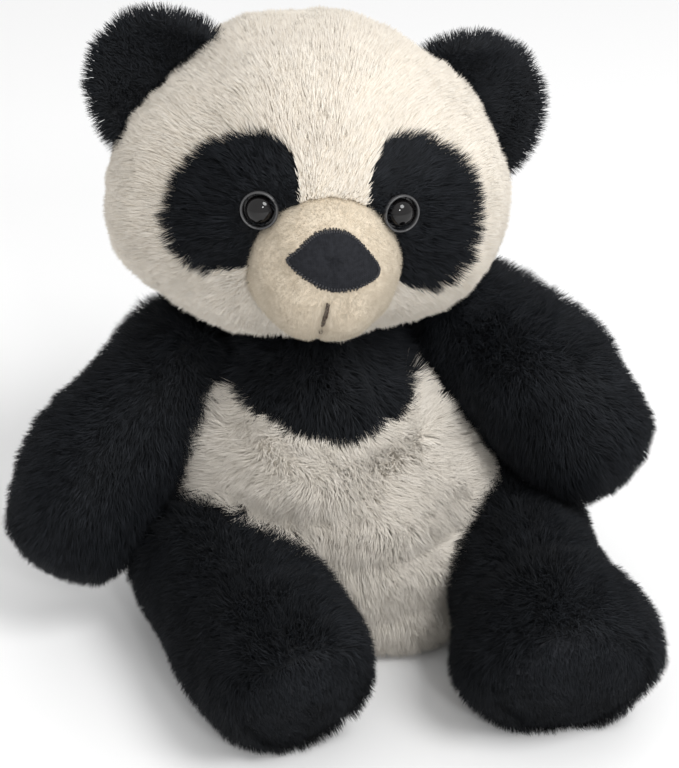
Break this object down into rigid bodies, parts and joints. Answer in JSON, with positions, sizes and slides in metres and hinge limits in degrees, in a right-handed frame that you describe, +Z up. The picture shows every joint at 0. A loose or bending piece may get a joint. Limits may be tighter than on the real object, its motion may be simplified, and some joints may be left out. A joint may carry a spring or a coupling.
{
  "type": "plush panda",
  "caption": "Seated soft toy panda with a large cream head, black limbs, ears and eye patches, short-pile muzzle and stuffed body; head, ears, arms and legs move.",
  "frame": {"origin": "centre of the flat seat, on the surface that the panda sits on", "axes": "+Z up; the panda faces -Y; +X is the panda's own left"},
  "size_m": [0.204, 0.1804, 0.2026],
  "materials": {
    "cream_plush": "dense woolly plush pile, matt",
    "black_plush": "dense plush pile with soft blue-black sheen",
    "muzzle_cloth": "low-pile velour, matt",
    "nose_cloth": "smooth low-pile velour, matt",
    "sole_cloth": "short-pile plush, matt",
    "brown_thread": "embroidery thread, slight sheen",
    "black_thread": "embroidery thread, slight sheen",
    "stuffing": "polyester fibre fill, hidden",
    "pellet_cloth": "woven inner bag, hidden",
    "eye_plastic": "polished black plastic",
    "eye_lens": "polished clear brown plastic",
    "washer_plastic": "moulded plastic, hidden"
  },
  "bodies": {
    "torso": {"chest_panel": "black_plush", "belly_panel": "cream_plush", "back_panel_left": "black_plush", "back_panel_right": "black_plush", "seat_panel": "black_plush", "torso_filling": "stuffing", "pellet_bag": "pellet_cloth", "closing_seam_stitches": "black_thread"},
    "neck": {"neck_filling": "stuffing"},
    "head": {"head_side_left": "cream_plush", "head_side_right": "cream_plush", "head_gusset": "cream_plush", "eye_patch_left": "black_plush", "eye_patch_right": "black_plush", "muzzle_cover": "muzzle_cloth", "muzzle_filling": "stuffing", "nose_patch": "nose_cloth", "nose_edge_stitching": "black_thread", "mouth_stitch": "brown_thread", "left_eye_lens": "eye_lens", "left_eye_post": "eye_plastic", "left_eye_washer": "washer_plastic", "right_eye_lens": "eye_lens", "right_eye_post": "eye_plastic", "right_eye_washer": "washer_plastic", "head_filling": "stuffing"},
    "left_ear": {"left_ear_front": "black_plush", "left_ear_back": "black_plush"},
    "right_ear": {"right_ear_front": "black_plush", "right_ear_back": "black_plush"},
    "left_arm": {"left_arm_front": "black_plush", "left_arm_back": "black_plush", "left_arm_filling": "stuffing"},
    "right_arm": {"right_arm_front": "black_plush", "right_arm_back": "black_plush", "right_arm_filling": "stuffing"},
    "left_leg": {"left_leg_inner": "black_plush", "left_leg_outer": "black_plush", "left_foot_sole": "sole_cloth", "left_leg_filling": "stuffing"},
    "right_leg": {"right_leg_inner": "black_plush", "right_leg_outer": "black_plush", "right_foot_sole": "sole_cloth", "right_leg_filling": "stuffing"}
  },
  "joints": [
    {"name": "neck_turn", "type": "hinge", "parent": "torso", "child": "neck", "pos_m": [-0.013, 0.014, 0.089], "axis": [0, 0, 1], "range_deg": [-25, 25], "stiffness_Nm_per_rad": 0.12},
    {"name": "neck_nod", "type": "hinge", "parent": "neck", "child": "head", "pos_m": [-0.013, 0.014, 0.089], "axis": [0.9879, -0.1356, -0.075], "range_deg": [-8, 10], "stiffness_Nm_per_rad": 1.2},
    {"name": "left_ear_fold", "type": "hinge", "parent": "head", "child": "left_ear", "pos_m": [0.03924, 0.01216, 0.17068], "axis": [-0.5255, 0.3043, 0.7945], "range_deg": [-20, 20], "stiffness_Nm_per_rad": 0.01},
    {"name": "right_ear_fold", "type": "hinge", "parent": "head", "child": "right_ear", "pos_m": [-0.0574, 0.02671, 0.18162], "axis": [-0.7419, -0.1186, -0.66], "range_deg": [-20, 20], "stiffness_Nm_per_rad": 0.01},
    {"name": "left_shoulder_raise", "type": "hinge", "parent": "torso", "child": "left_arm", "pos_m": [0.041, 0.014, 0.089], "axis": [-0.817, -0.5767, 0], "range_deg": [0, 40]},
    {"name": "right_shoulder_raise", "type": "hinge", "parent": "torso", "child": "right_arm", "pos_m": [-0.055, 0.02, 0.087], "axis": [-0.3299, 0.944, 0], "range_deg": [0, 50]},
    {"name": "left_hip_splay", "type": "hinge", "parent": "torso", "child": "left_leg", "pos_m": [0.049, -0.004, 0.0255], "axis": [0, 0, 1], "range_deg": [0, 30], "stiffness_Nm_per_rad": 0.03},
    {"name": "right_hip_splay", "type": "hinge", "parent": "torso", "child": "right_leg", "pos_m": [-0.053, -0.004, 0.0255], "axis": [0, 0, -1], "range_deg": [0, 30], "stiffness_Nm_per_rad": 0.03}
  ]
}
